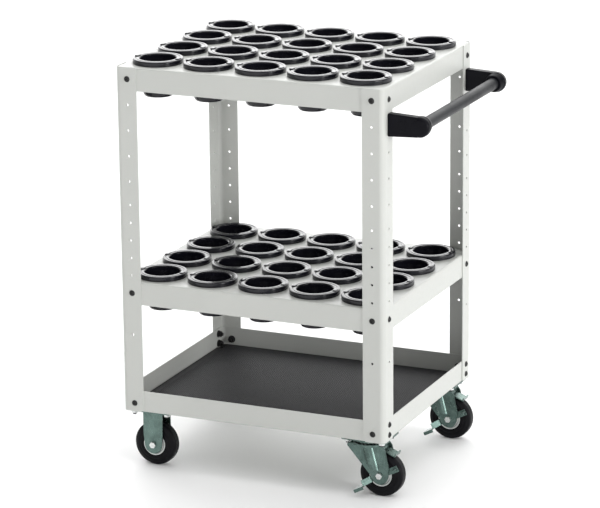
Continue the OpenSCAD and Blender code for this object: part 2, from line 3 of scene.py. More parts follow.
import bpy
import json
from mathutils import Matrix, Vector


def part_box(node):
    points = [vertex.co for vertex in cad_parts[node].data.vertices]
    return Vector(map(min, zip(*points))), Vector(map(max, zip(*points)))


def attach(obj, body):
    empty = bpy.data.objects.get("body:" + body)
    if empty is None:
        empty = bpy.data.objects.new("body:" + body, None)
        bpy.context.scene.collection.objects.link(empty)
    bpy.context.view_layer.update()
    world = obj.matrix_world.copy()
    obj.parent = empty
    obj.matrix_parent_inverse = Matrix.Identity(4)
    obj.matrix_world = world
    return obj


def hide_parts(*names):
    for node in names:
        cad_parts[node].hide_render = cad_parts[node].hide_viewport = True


bl_info = {
    "name": "Tool Holder Trolley",
    "version": (1, 0, 0),
    "blender": (4, 5, 0),
    "location": "3D View > Sidebar > Trolley",
    "description": "Builds the sleeves, wheels, handle, mat and finishes of a tool holder trolley",
    "category": "Add Mesh",
}

import json
import math

import bmesh
import bpy
import numpy as np
from mathutils import Matrix, Vector

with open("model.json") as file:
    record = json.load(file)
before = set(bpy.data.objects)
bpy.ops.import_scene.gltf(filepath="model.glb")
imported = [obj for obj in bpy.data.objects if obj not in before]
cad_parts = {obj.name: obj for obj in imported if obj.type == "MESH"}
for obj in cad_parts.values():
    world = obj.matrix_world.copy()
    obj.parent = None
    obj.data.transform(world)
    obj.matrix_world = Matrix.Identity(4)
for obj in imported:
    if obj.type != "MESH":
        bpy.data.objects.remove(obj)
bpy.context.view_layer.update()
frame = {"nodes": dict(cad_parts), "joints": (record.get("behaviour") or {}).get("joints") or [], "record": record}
NODES = frame["nodes"]
RECORD = frame["record"]
JOINTS = {joint["name"]: joint for joint in frame["joints"]}
MM = 0.001
ENDS = ("front", "rear")

# sizes that the frame's boxes don't give
RING_HEIGHT = 11 * MM
LUG_HEIGHT = 2 * MM
SLEEVE_WALL = 4 * MM
SLEEVE_TAPER = 7 / 48  # radius lost for each length of depth, the tool holder's own taper
SLEEVE_BODY_R = 47.8 * MM
BRACKET_THICK = 19.5 * MM
BUSH_HOLE_R = 6.1 * MM
BUTTON_HEAD_R = 7 * MM
BUTTON_HEAD_HEIGHT = 4.4 * MM
SCREW_R = 4 * MM
SCREW_LENGTH = 16 * MM
SOCKET_R = 2.9 * MM

POSTS = [n for n in NODES if n.endswith("_post")]
TOOL_TRAYS = ["upper_tool_tray", "lower_tool_tray"]
SLEEVE_ROWS = sorted(n for n in NODES if "_sleeves_row_" in n)
BLACK_FIXINGS = [
    "upper_tray_nuts",
    "lower_tray_nuts",
    "bottom_tray_nuts",
    "handle_screws",
    "handle_bar_screws",
    "caster_screws",
]
BUTTON_SCREWS = ["upper_tray_screws", "lower_tray_screws", "bottom_tray_screws"]
ZINC_PRESSINGS = [
    "front_rigid_fork",
    "rear_rigid_fork",
    "front_swivel_fork",
    "rear_swivel_fork",
    "swivel_plates",
    "front_brake_lever",
    "rear_brake_lever",
    "front_brake_shoe",
    "rear_brake_shoe",
]
BRIGHT_PARTS = [
    "caster_nuts",
    "swivel_kingpins",
    "rigid_axle_bolts",
    "rigid_axle_nuts",
    "rigid_axle_bushes",
    "front_axle_bolt",
    "front_axle_nut",
    "front_axle_bush",
    "rear_axle_bolt",
    "rear_axle_nut",
    "rear_axle_bush",
]


# ---------------------------------------------------------------- surfaces


def grid_patch(points, wrap_u=False, wrap_v=False):
    """A grid of points P(u, v) as (vertices, quads).

    Quad (i, j) joins P(i, j), P(i+1, j), P(i+1, j+1) and P(i, j+1), with the index taken round
    the end of a direction that wraps.
    """
    rows, cols = points.shape[:2]
    index = np.arange(rows * cols).reshape(rows, cols)
    if wrap_u:
        index = np.vstack([index, index[:1]])
    if wrap_v:
        index = np.hstack([index, index[:, :1]])
    quads = np.stack([index[:-1, :-1], index[1:, :-1], index[1:, 1:], index[:-1, 1:]], axis=-1)
    return points.reshape(-1, 3), quads.reshape(-1, 4)


def moved(patch, matrix):
    """A patch with each vertex v sent to M v."""
    verts, quads = patch
    m = np.array(matrix)
    return verts @ m[:3, :3].T + m[:3, 3], quads


def joined(patches):
    """Several patches as one, with each patch's quads shifted past the vertices before it."""
    starts = np.cumsum([0] + [len(v) for v, _ in patches[:-1]])
    verts = np.vstack([v for v, _ in patches])
    quads = np.vstack([q + s for (_, q), s in zip(patches, starts)])
    return verts, quads


def rounded_outline(corners, radii, steps=5):
    """A closed outline whose corners are rounded.

    At a corner with half angle h between its two sides, the arc of radius r touches each side at
    r / tan(h) from the corner, and its points are the centre plus r times a unit vector that turns
    evenly from one touching point to the other.
    """
    corners = np.asarray(corners, float)
    before = np.roll(corners, 1, axis=0) - corners
    after = np.roll(corners, -1, axis=0) - corners
    len_a = np.linalg.norm(before, axis=1, keepdims=True)
    len_b = np.linalg.norm(after, axis=1, keepdims=True)
    a, b = before / len_a, after / len_b
    half = np.arccos(np.clip((a * b).sum(1, keepdims=True), -0.9999, 0.9999)) / 2
    most = np.minimum(len_a, len_b) * 0.49 * np.tan(half)
    r = np.minimum(np.asarray(radii, float).reshape(-1, 1), most)
    middle = a + b
    middle /= np.linalg.norm(middle, axis=1, keepdims=True)
    centre = corners + middle * r / np.sin(half)
    start = corners + a * r / np.tan(half) - centre
    end = corners + b * r / np.tan(half) - centre
    turn = np.arctan2(
        start[:, 0] * end[:, 1] - start[:, 1] * end[:, 0], (start * end).sum(1)
    )
    t = np.linspace(0, 1, steps)[None, :] * turn[:, None]
    x = start[:, :1] * np.cos(t) - start[:, 1:] * np.sin(t)
    y = start[:, :1] * np.sin(t) + start[:, 1:] * np.cos(t)
    return (centre[:, None, :] + np.stack([x, y], axis=-1)).reshape(-1, 2)


def rectangle(half_wide, half_high):
    """The four corners of a rectangle about the origin."""
    return np.array([(-1, -1), (1, -1), (1, 1), (-1, 1)]) * (half_wide, half_high)


def turned(outline, segments=96):
    """A closed outline (r, z) turned about Z: P(u, v) = (r(u) cos v, r(u) sin v, z(u))."""
    angle = np.linspace(0, 2 * math.pi, segments, endpoint=False)
    r, z = outline[:, :1], outline[:, 1:]
    points = np.stack([r * np.cos(angle), r * np.sin(angle), z + 0 * angle], axis=-1)
    return grid_patch(points, wrap_u=True, wrap_v=True)


def sections_along(sections):
    """A closed tube through sections S(u)(v), each capped end drawn in to its middle point."""
    first = np.repeat(sections[:1].mean(axis=1, keepdims=True), sections.shape[1], axis=1)
    last = np.repeat(sections[-1:].mean(axis=1, keepdims=True), sections.shape[1], axis=1)
    return grid_patch(np.concatenate([first, sections, last]), wrap_v=True)


def prism(outline, low, high):
    """A closed outline (x, y) carried along Z from low to high, with both ends capped."""
    heights = np.array([low, high])
    points = np.empty((2, len(outline), 3))
    points[:, :, :2] = outline
    points[:, :, 2] = heights[:, None]
    return sections_along(points)


def piece(name, patches, body, material, sharp=38, merge=2e-7):
    """Makes one mesh of closed patches, welded, facing outwards and smooth up to an angle."""
    verts, quads = joined(patches)
    mesh = bpy.data.meshes.new(name)
    mesh.from_pydata(verts, [], quads)
    work = bmesh.new()
    work.from_mesh(mesh)
    bmesh.ops.remove_doubles(work, verts=work.verts, dist=merge)
    bmesh.ops.dissolve_degenerate(work, edges=work.edges, dist=merge)
    bmesh.ops.recalc_face_normals(work, faces=work.faces)
    work.to_mesh(mesh)
    work.free()
    mesh.polygons.foreach_set("use_smooth", np.ones(len(mesh.polygons), bool))
    mesh.set_sharp_from_angle(angle=math.radians(sharp))
    mesh.materials.append(material)
    mesh.update()
    obj = bpy.data.objects.new(name, mesh)
    bpy.context.scene.collection.objects.link(obj)
    even = obj.modifiers.new("even_shading", "WEIGHTED_NORMAL")
    even.weight = 100
    even.mode = "FACE_AREA"
    even.keep_sharp = True
    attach(obj, body)
    return obj


# ---------------------------------------------------------------- materials


class Nodes:
    """Adds nodes to one material, so that each finish below reads as a short recipe."""

    def __init__(self, name):
        self.material = bpy.data.materials.new(name)
        self.material.use_nodes = True
        self.tree = self.material.node_tree
        self.shader = self.tree.nodes["Principled BSDF"]
        self.place = self.add("ShaderNodeTexCoord").outputs["Object"]

    def add(self, kind, **settings):
        node = self.tree.nodes.new(kind)
        for key, value in settings.items():
            setattr(node, key, value)
        return node

    def link(self, source, target):
        self.tree.links.new(source, target)

    def noise(self, scale, detail=3.0, roughness=0.5, stretch=None):
        """Noise at so many cells to the metre, stretched along the axes if asked."""
        node = self.add("ShaderNodeTexNoise")
        node.inputs["Scale"].default_value = scale
        node.inputs["Detail"].default_value = detail
        node.inputs["Roughness"].default_value = roughness
        where = self.place
        if stretch:
            mapping = self.add("ShaderNodeMapping")
            mapping.inputs["Scale"].default_value = stretch
            self.link(where, mapping.inputs["Vector"])
            where = mapping.outputs["Vector"]
        self.link(where, node.inputs["Vector"])
        return node.outputs["Fac"]

    def ramp(self, value, low, high, start=0.0, end=1.0):
        """Maps value from low..high to start..end, clamped."""
        node = self.add("ShaderNodeMapRange")
        for key, number in (
            ("From Min", low),
            ("From Max", high),
            ("To Min", start),
            ("To Max", end),
        ):
            node.inputs[key].default_value = number
        self.link(value, node.inputs["Value"])
        return node.outputs["Result"]

    def mix(self, share, first, second):
        """A colour that goes from first to second as share goes from 0 to 1."""
        node = self.add("ShaderNodeMix", data_type="RGBA")
        self.link(share, node.inputs["Factor"])
        for socket, value in ((node.inputs[6], first), (node.inputs[7], second)):
            if isinstance(value, bpy.types.NodeSocket):
                self.link(value, socket)
            else:
                socket.default_value = (*value, 1.0)
        return node.outputs[2]

    def math(self, operation, first, second):
        node = self.add("ShaderNodeMath", operation=operation)
        for socket, value in ((node.inputs[0], first), (node.inputs[1], second)):
            if isinstance(value, bpy.types.NodeSocket):
                self.link(value, socket)
            else:
                socket.default_value = value
        return node.outputs[0]

    def bump(self, height, distance, strength=1.0, under=None):
        """Bump of that height in metres, laid over another bump if asked."""
        node = self.add("ShaderNodeBump")
        node.inputs["Strength"].default_value = strength
        node.inputs["Distance"].default_value = distance
        self.link(height, node.inputs["Height"])
        if under:
            self.link(under, node.inputs["Normal"])
        return node.outputs["Normal"]

    def finish(self, colour=None, roughness=None, normal=None, **constants):
        """Links what varies, and sets each constant straight on the shader."""
        for socket, value in (
            ("Base Color", colour),
            ("Roughness", roughness),
            ("Normal", normal),
        ):
            if isinstance(value, bpy.types.NodeSocket):
                self.link(value, self.shader.inputs[socket])
            elif value is not None:
                full = (*value, 1.0) if socket == "Base Color" else value
                self.shader.inputs[socket].default_value = full
        for key, value in constants.items():
            self.shader.inputs[key.replace("_", " ")].default_value = value
        return self.material


def shade(colour, factor):
    """A colour made lighter or darker by a factor."""
    return tuple(min(1.0, c * factor) for c in colour)


def powder_coat(settings):
    """Light grey powder coat: orange peel of about a millimetre, and faint clouding."""
    n = Nodes("powder_coat")
    colour = tuple(settings.sheet_colour)
    cloud = n.ramp(n.noise(5, 4), 0.35, 0.65)
    speck = n.ramp(n.noise(900, 2), 0.66, 0.74)
    base = n.mix(cloud, shade(colour, 0.97), colour)
    base = n.mix(speck, base, shade(colour, 0.90))
    scuff = n.ramp(n.noise(60, 6, 0.7, (1, 1, 0.15)), 0.68, 0.75)
    base = n.mix(scuff, base, shade(colour, 0.93))
    rough = n.ramp(n.noise(120, 4), 0.3, 0.7, 0.36, 0.47)
    peel = n.bump(n.noise(650, 2, 0.4), settings.peel_height, 0.35)
    return n.finish(base, rough, peel, Coat_Weight=0.12, Coat_Roughness=0.25)


def sleeve_plastic(settings):
    """Gloss black moulding: faint flow marks, fine scratches and a soft ripple in the gloss."""
    n = Nodes("sleeve_plastic")
    colour = tuple(settings.sleeve_colour)
    flow = n.ramp(n.noise(35, 4, 0.6), 0.35, 0.7)
    base = n.mix(flow, colour, shade(colour, 1.5))
    scratch = n.ramp(n.noise(240, 5, 0.75, (1, 0.12, 1)), 0.62, 0.7)
    rough = n.math("ADD", n.ramp(flow, 0, 1, 0.10, 0.17), n.math("MULTIPLY", scratch, 0.1))
    ripple = n.bump(n.noise(90, 2), 0.0003, 0.12)
    fine = n.bump(n.noise(1500, 2), 0.00005, 0.1, ripple)
    return n.finish(base, rough, fine, IOR=1.36, Coat_Weight=0.15, Coat_Roughness=0.05)


def handle_plastic(settings):
    """Satin black moulding with a fine spark-eroded grain."""
    n = Nodes("handle_plastic")
    colour = tuple(settings.handle_colour)
    rub = n.ramp(n.noise(22, 5, 0.6), 0.4, 0.7)
    base = n.mix(rub, colour, shade(colour, 1.35))
    rough = n.ramp(n.noise(300, 3), 0.3, 0.7, 0.34, 0.48)
    grain = n.bump(n.noise(1800, 3, 0.6), 0.00008, 0.5)
    return n.finish(base, rough, grain, Specular_IOR_Level=0.11)


def bar_coating(settings):
    """Dark grey coated tube with a fine texture, a little smoother where hands hold it."""
    n = Nodes("bar_coating")
    colour = tuple(settings.bar_colour)
    worn = n.ramp(n.noise(14, 4, 0.55), 0.4, 0.65)
    base = n.mix(worn, colour, shade(colour, 1.2))
    rough = n.ramp(worn, 0, 1, 0.46, 0.36)
    grain = n.bump(n.noise(1400, 3, 0.6), 0.0001, 0.5)
    return n.finish(base, rough, grain, Specular_IOR_Level=0.16)


def mat_rubber(settings):
    """Charcoal rubber with random dusty patches, and a slight grain over its moulded studs."""
    n = Nodes("mat_rubber")
    colour = tuple(settings.mat_colour)
    dust = n.ramp(n.noise(7, 5, 0.6), 0.35, 0.7)
    grain = n.noise(700, 3, 0.6)
    base = n.mix(dust, colour, shade(colour, 1.3))
    base = n.mix(n.ramp(grain, 0.55, 0.8), base, shade(colour, 1.6))
    rough = n.ramp(grain, 0.3, 0.7, 0.55, 0.72)
    return n.finish(base, rough, n.bump(grain, 0.0002, 0.5))


def tyre_rubber(settings):
    """Black rubber, rubbed a little greyer in random patches."""
    n = Nodes("tyre_rubber")
    colour = tuple(settings.tyre_colour)
    dust = n.ramp(n.noise(60, 5, 0.65), 0.4, 0.75)
    base = n.mix(dust, colour, shade(colour, 1.9))
    rough = n.ramp(n.noise(200, 4), 0.3, 0.7, 0.36, 0.55)
    skin = n.bump(n.noise(900, 3, 0.6), 0.0001, 0.5)
    return n.finish(base, rough, skin, Specular_IOR_Level=0.12)


def zinc_plate(settings):
    """Blue-green passivated zinc on pressed steel: soft clouds, fine grain, faint scratches."""
    n = Nodes("caster_zinc")
    colour = tuple(settings.zinc_colour)
    cloud = n.ramp(n.noise(38, 4, 0.55), 0.3, 0.7)
    base = n.mix(cloud, shade(colour, 0.8), shade(colour, 1.35))
    scratch = n.ramp(n.noise(260, 5, 0.7, (1, 1, 0.1)), 0.58, 0.8)
    base = n.mix(scratch, base, shade(colour, 2.0))
    rough = n.ramp(n.noise(160, 5, 0.65), 0.3, 0.7, 0.22, 0.36)
    skin = n.bump(n.noise(420, 3), 0.00012, 0.3)
    return n.finish(base, rough, skin, Metallic=0.9)


def bright_zinc(settings):
    """Bright plated fasteners with fine brushed marks."""
    n = Nodes("bright_zinc")
    colour = tuple(settings.bright_colour)
    cloud = n.ramp(n.noise(150, 4, 0.6), 0.35, 0.7)
    base = n.mix(cloud, colour, shade(colour, 0.78))
    rough = n.ramp(n.noise(500, 4), 0.3, 0.7, 0.18, 0.34)
    return n.finish(base, rough, n.bump(n.noise(900, 2), 0.00005, 0.3), Metallic=1.0)


def turned_steel(settings):
    """The hubs: bright plate over turned steel, with faint clouding and a fine grain."""
    n = Nodes("hub_steel")
    colour = tuple(settings.bright_colour)
    cloud = n.ramp(n.noise(110, 4, 0.6), 0.35, 0.7)
    base = n.mix(cloud, shade(colour, 0.85), colour)
    rough = n.ramp(n.noise(700, 3), 0.3, 0.7, 0.26, 0.4)
    return n.finish(base, rough, n.bump(n.noise(1100, 2), 0.00006, 0.4), Metallic=0.9)


def black_oxide(settings):
    """Oily black oxide on the screws and nuts."""
    n = Nodes("black_screw")
    colour = tuple(settings.fixing_colour)
    cloud = n.ramp(n.noise(300, 4), 0.35, 0.7)
    base = n.mix(cloud, colour, shade(colour, 2.0))
    rough = n.ramp(n.noise(900, 3), 0.3, 0.7, 0.32, 0.5)
    return n.finish(base, rough, n.bump(n.noise(1600, 2), 0.00005, 0.4), Metallic=0.4)


def ball_steel(settings):
    """Polished bearing balls under a film of grease."""
    n = Nodes("ball_steel")
    colour = tuple(settings.bright_colour)
    film = n.ramp(n.noise(400, 3), 0.4, 0.7)
    base = n.mix(film, colour, shade(colour, 0.6))
    return n.finish(base, n.ramp(film, 0, 1, 0.12, 0.3), Metallic=1.0)


def floor_finish():
    """Plain pale studio floor, with a hardly visible grain."""
    n = Nodes("studio_floor")
    base = n.mix(n.noise(3, 3), (0.93, 0.93, 0.93), (0.95, 0.95, 0.95))
    return n.finish(base, 0.85)


MATERIALS = {}
RECIPES = {
    "powder_coat": powder_coat,
    "sleeve_plastic": sleeve_plastic,
    "handle_plastic": handle_plastic,
    "bar_coating": bar_coating,
    "mat_rubber": mat_rubber,
    "tyre_rubber": tyre_rubber,
    "caster_zinc": zinc_plate,
    "bright_zinc": bright_zinc,
    "hub_steel": turned_steel,
    "black_screw": black_oxide,
    "ball_steel": ball_steel,
}


def finish_of(slot):
    """The material of a slot, made the first time that it is asked for."""
    if slot not in MATERIALS:
        MATERIALS[slot] = RECIPES[slot](bpy.context.scene.trolley)
    return MATERIALS[slot]


def dress(node, slot, edge=0.0, smooth=30):
    """Gives a carried-over node its finish, soft edges of that width and smooth curves."""
    obj = NODES[node]
    if not obj.material_slots:
        obj.data.materials.append(None)
    for material_slot in obj.material_slots:
        material_slot.material = finish_of(slot)
    obj.data.polygons.foreach_set("use_smooth", np.ones(len(obj.data.polygons), bool))
    weld = obj.modifiers.new("weld", "WELD")
    weld.merge_threshold = 2e-6
    flat = obj.modifiers.new("flat_faces", "DECIMATE")
    flat.decimate_type = "DISSOLVE"
    flat.angle_limit = math.radians(0.6)
    if edge:
        bevel = obj.modifiers.new("soft_edges", "BEVEL")
        bevel.width = edge
        bevel.segments = 2
        bevel.limit_method = "ANGLE"
        bevel.angle_limit = math.radians(smooth)
        even = obj.modifiers.new("even_shading", "WEIGHTED_NORMAL")
        even.weight = 100
        even.mode = "FACE_AREA"
    else:
        split = obj.modifiers.new("crisp_edges", "EDGE_SPLIT")
        split.split_angle = math.radians(smooth)


def finish_piece(obj, slot, *nodes):
    """Hides the carried-over nodes that a new piece stands for."""
    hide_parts(*nodes)


# ---------------------------------------------------------------- places, from the frame


def sockets(tray, row):
    """The centres, on the tray's top face, of one row of sleeves."""
    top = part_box(f"{tray}_tool_tray")[1].z
    start = f"{tray}_socket_{row}_"
    spots = [m["pos_m"] for m in RECORD["mounts"] if m["name"].startswith(start)]
    return [Vector((x, y, top)) for x, y, _ in spots]


def wheel_places():
    """Each wheel: the name of its body and nodes, and the middle of its axle."""
    places = []
    for end in ENDS:
        for kind in ("rigid", "swivel"):
            joint = JOINTS[f"{end}_{kind}_wheel_spin"]
            places.append((f"{end}_{kind}", Vector(joint["pos_m"])))
    return places


def along_axle(place):
    """Turns a piece drawn about Z so that it lies along an axle through place, front end up."""
    return Matrix.Translation(place) @ Matrix.Rotation(math.radians(90), 4, "X")


# ---------------------------------------------------------------- settings


def colour_property(name, description, default):
    return bpy.props.FloatVectorProperty(
        name=name,
        description=description,
        default=default,
        size=3,
        min=0.0,
        max=1.0,
        subtype="COLOR",
    )


def length_property(name, description, default, low=0.0, high=0.2):
    return bpy.props.FloatProperty(
        name=name,
        description=description,
        default=default,
        min=low,
        max=high,
        precision=5,
        subtype="DISTANCE",
        unit="LENGTH",
    )


class TrolleySettings(bpy.types.PropertyGroup):
    """Colours and sizes that a user would change."""

    sheet_colour: colour_property(
        "Sheet", "Powder coat of the posts and trays", (0.500, 0.510, 0.485)
    )
    sleeve_colour: colour_property(
        "Sleeves", "Gloss plastic of the sleeves", (0.006, 0.006, 0.009)
    )
    handle_colour: colour_property(
        "Handle brackets", "Satin plastic of the brackets", (0.002, 0.002, 0.004)
    )
    bar_colour: colour_property("Handle bar", "Coating of the bar", (0.012, 0.013, 0.015))
    mat_colour: colour_property("Mat", "Rubber of the mat", (0.016, 0.016, 0.018))
    tyre_colour: colour_property("Tyres", "Rubber of the tyres", (0.003, 0.003, 0.004))
    zinc_colour: colour_property("Casters", "Plating of the forks", (0.105, 0.155, 0.14))
    bright_colour: colour_property(
        "Bright parts", "Plating of bolts and hubs", (0.74, 0.76, 0.75)
    )
    fixing_colour: colour_property(
        "Screws", "Black oxide of the screws", (0.010, 0.010, 0.010)
    )
    edge_width: length_property(
        "Sheet edge", "Rounding of the edges of the sheet", 0.5 * MM, high=1 * MM
    )
    pressing_edge: length_property(
        "Pressed edge", "Rounding of the caster pressings", 0.7 * MM, high=1.2 * MM
    )
    peel_height: length_property(
        "Orange peel", "Height of the coat's orange peel", 0.25 * MM, high=1 * MM
    )
    stud_pitch: length_property(
        "Mat stud pitch", "Distance between studs of the mat", 6 * MM, 4 * MM, 20 * MM
    )
    stud_height: length_property(
        "Mat stud height", "Height of the studs of the mat", 0.5 * MM, high=2 * MM
    )
    lamp_power: bpy.props.FloatProperty(
        name="Lamp power",
        description="Strength of all the lamps together",
        default=1.0,
        min=0.0,
    )


# ---------------------------------------------------------------- operators


class TROLLEY_OT_sheet_metal(bpy.types.Operator):
    """Powder coats the posts and trays and softens their edges"""

    bl_idname = "trolley.sheet_metal"
    bl_label = "Posts and Trays"

    def execute(self, context):
        edge = context.scene.trolley.edge_width
        for node in [*POSTS, *TOOL_TRAYS, "bottom_tray"]:
            dress(node, "powder_coat", edge)
        return {"FINISHED"}


def sleeve_patches(ring_r, mouth_r, ring_h, deep, body_r):
    """One sleeve about Z with its ring on z = 0: the turned body, two lugs and four barbs.

    The bore narrows by SLEEVE_TAPER, the lower 10 mm is rounded like a bowl, and the ring's top
    has a groove round it.
    """
    foot_r = mouth_r - deep * SLEEVE_TAPER
    foot_out = foot_r + SLEEVE_WALL
    corners = [
        (mouth_r + 1.8 * MM, ring_h),
        (mouth_r, ring_h - 2.2 * MM),
        (mouth_r, 0.5 * MM),
        (foot_r, -deep),
        (foot_out - 3.2 * MM, -deep),
        (foot_out - 0.6 * MM, -deep + 3.5 * MM),
        (foot_out + 1.2 * MM, -deep + 10 * MM),
        (body_r - 3 * MM, -16 * MM),
        (body_r, -12 * MM),
        (body_r, -0.3 * MM),
        (ring_r, 0),
        (ring_r, ring_h),
        (ring_r - 6 * MM, ring_h + 0.2 * MM),
        (ring_r - 6.8 * MM, ring_h - 0.6 * MM),
        (ring_r - 8.0 * MM, ring_h - 0.6 * MM),
        (ring_r - 8.8 * MM, ring_h + 0.2 * MM),
    ]
    mouth, foot, body = [0.8, 0.8, 2], [0.3, 0.4, 5, 8], [3, 1, 0.4]
    ring, groove = [0.8, 2.6], [0.5, 0.3, 0.3, 0.5]
    radii = np.array(mouth + foot + body + ring + groove) * MM
    patches = [turned(rounded_outline(corners, radii))]
    # drive lugs: a rounded plan between two radii, raised over the ring at each end of X
    lug = rounded_outline(rectangle(7.5 * MM, 4.6 * MM), [2 * MM] * 4)
    heights = ring_h + np.array([-0.5, 0.6, 0.9, 1.0]) * LUG_HEIGHT
    draw_in = np.array([1.0, 0.97, 0.92, 0.80])
    sections = np.empty((4, len(lug), 3))
    sections[:, :, 0] = lug[None, :, 1] * draw_in[:, None]
    sections[:, :, 1] = lug[None, :, 0] * draw_in[:, None]
    sections[:, :, 2] = heights[:, None]
    centre = (mouth_r + 4 * MM + ring_r - 2.5 * MM) / 2
    for angle in (0, 180):
        spin = Matrix.Rotation(math.radians(angle), 4, "Z")
        patches.append(moved(sections_along(sections), spin @ Matrix.Translation((centre, 0, 0))))
    barb = np.array([(-1, 0), (3, 0), (0, -9), (-1, -9)]) * MM
    solid = prism(rounded_outline(barb, [0.4 * MM] * 4), -6 * MM, 6 * MM)
    stand = Matrix.Rotation(math.radians(90), 4, "X")
    for angle in (45, 135, 225, 315):
        spin = Matrix.Rotation(math.radians(angle), 4, "Z")
        place = Matrix.Translation((body_r, 0, -2.4 * MM))
        patches.append(moved(solid, spin @ place @ stand))
    return patches


class TROLLEY_OT_sleeves(bpy.types.Operator):
    """Makes the moulded sleeves, one piece for each row"""

    bl_idname = "trolley.sleeves"
    bl_label = "Sleeves"

    def execute(self, context):
        for node in SLEEVE_ROWS:
            tray, row = node.split("_sleeves_row_")
            low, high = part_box(node)
            spots = sockets(tray, row)
            mouth = next(m for m in RECORD["mounts"] if m["name"] == f"{tray}_socket_{row}_1")
            mouth_r = mouth["dims"]["r_mm"] * MM
            ring_r = (high.y - low.y) / 2
            deep = spots[0].z - low.z
            unit = joined(sleeve_patches(ring_r, mouth_r, RING_HEIGHT, deep, SLEEVE_BODY_R))
            row_piece = piece(
                node.replace("_row_", "_"),
                [moved(unit, Matrix.Translation(spot)) for spot in spots],
                "trolley",
                finish_of("sleeve_plastic"),
            )
            finish_piece(row_piece, "sleeve_plastic", node)
        return {"FINISHED"}


def stud_patch(low, high, pitch, height, top):
    """Rows of small diamond studs: each is a pyramid cut off flat, half a pitch in from its row.

    The studs' centres are low + pitch (i + (j mod 2) / 2, j / 2), and each has a lower diamond of
    four points, an upper one of half its size, and a cap.
    """
    nx = int((high.x - low.x) / pitch) - 2
    ny = int((high.y - low.y) / pitch * 2) - 3
    i, j = np.meshgrid(np.arange(nx), np.arange(ny), indexing="ij")
    x = low.x + pitch * (1.25 + i + (j % 2) / 2)
    y = low.y + pitch * (1.0 + j / 2)
    ring = np.array([(1, 0), (0, 1), (-1, 0), (0, -1)]) * pitch
    outer, inner = ring * (0.40, 0.20), ring * (0.26, 0.12)
    centres = np.stack([x.ravel(), y.ravel()], axis=-1)
    flat = np.concatenate([centres[:, None] + outer, centres[:, None] + inner], axis=1)
    z = np.r_[np.full(4, top - 0.2 * MM), np.full(4, top + height)]
    verts = np.concatenate([flat, np.broadcast_to(z[None, :, None], (*flat.shape[:2], 1))], axis=2)
    sides = [(k, (k + 1) % 4, (k + 1) % 4 + 4, k + 4) for k in range(4)]
    cell = np.array([*sides, (4, 5, 6, 7), (3, 2, 1, 0)])
    quads = cell[None] + 8 * np.arange(len(centres))[:, None, None]
    return verts.reshape(-1, 3), quads.reshape(-1, 4)


class TROLLEY_OT_mat(bpy.types.Operator):
    """Gives the mat its rubber and its moulded studs"""

    bl_idname = "trolley.mat"
    bl_label = "Mat"

    def execute(self, context):
        settings = context.scene.trolley
        dress("bottom_mat", "mat_rubber", 0.6 * MM)
        low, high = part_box("bottom_mat")
        edge = Vector((9 * MM, 9 * MM, 0))
        patch = stud_patch(
            low + edge, high - edge, settings.stud_pitch, settings.stud_height, high.z
        )
        studs = piece("mat_studs", [patch], "trolley", finish_of("mat_rubber"), sharp=20)
        return {"FINISHED"}


def arm_sections(length, thick, root_half, end_half, soft):
    """The bracket's arm along X, as rounded rectangles in (Y, Z).

    Its half height goes straight from root_half to end_half, and every corner has the radius
    soft. The first two sections are drawn in a little, so that the root has a soft edge too.
    """
    share = np.array([0.0, 0.012, 0.03, 0.35, 0.7, 1.0])
    draw_in = np.array([1.0, 0.3, 0.0, 0.0, 0.0, 0.0]) * MM
    sections = []
    for s, d in zip(share, draw_in):
        half = root_half + (end_half - root_half) * s - d
        flat = rounded_outline(rectangle(thick / 2 - d, half), [soft] * 4, 6)
        sections.append(np.column_stack([np.full(len(flat), s * length), flat]))
    return np.array(sections)


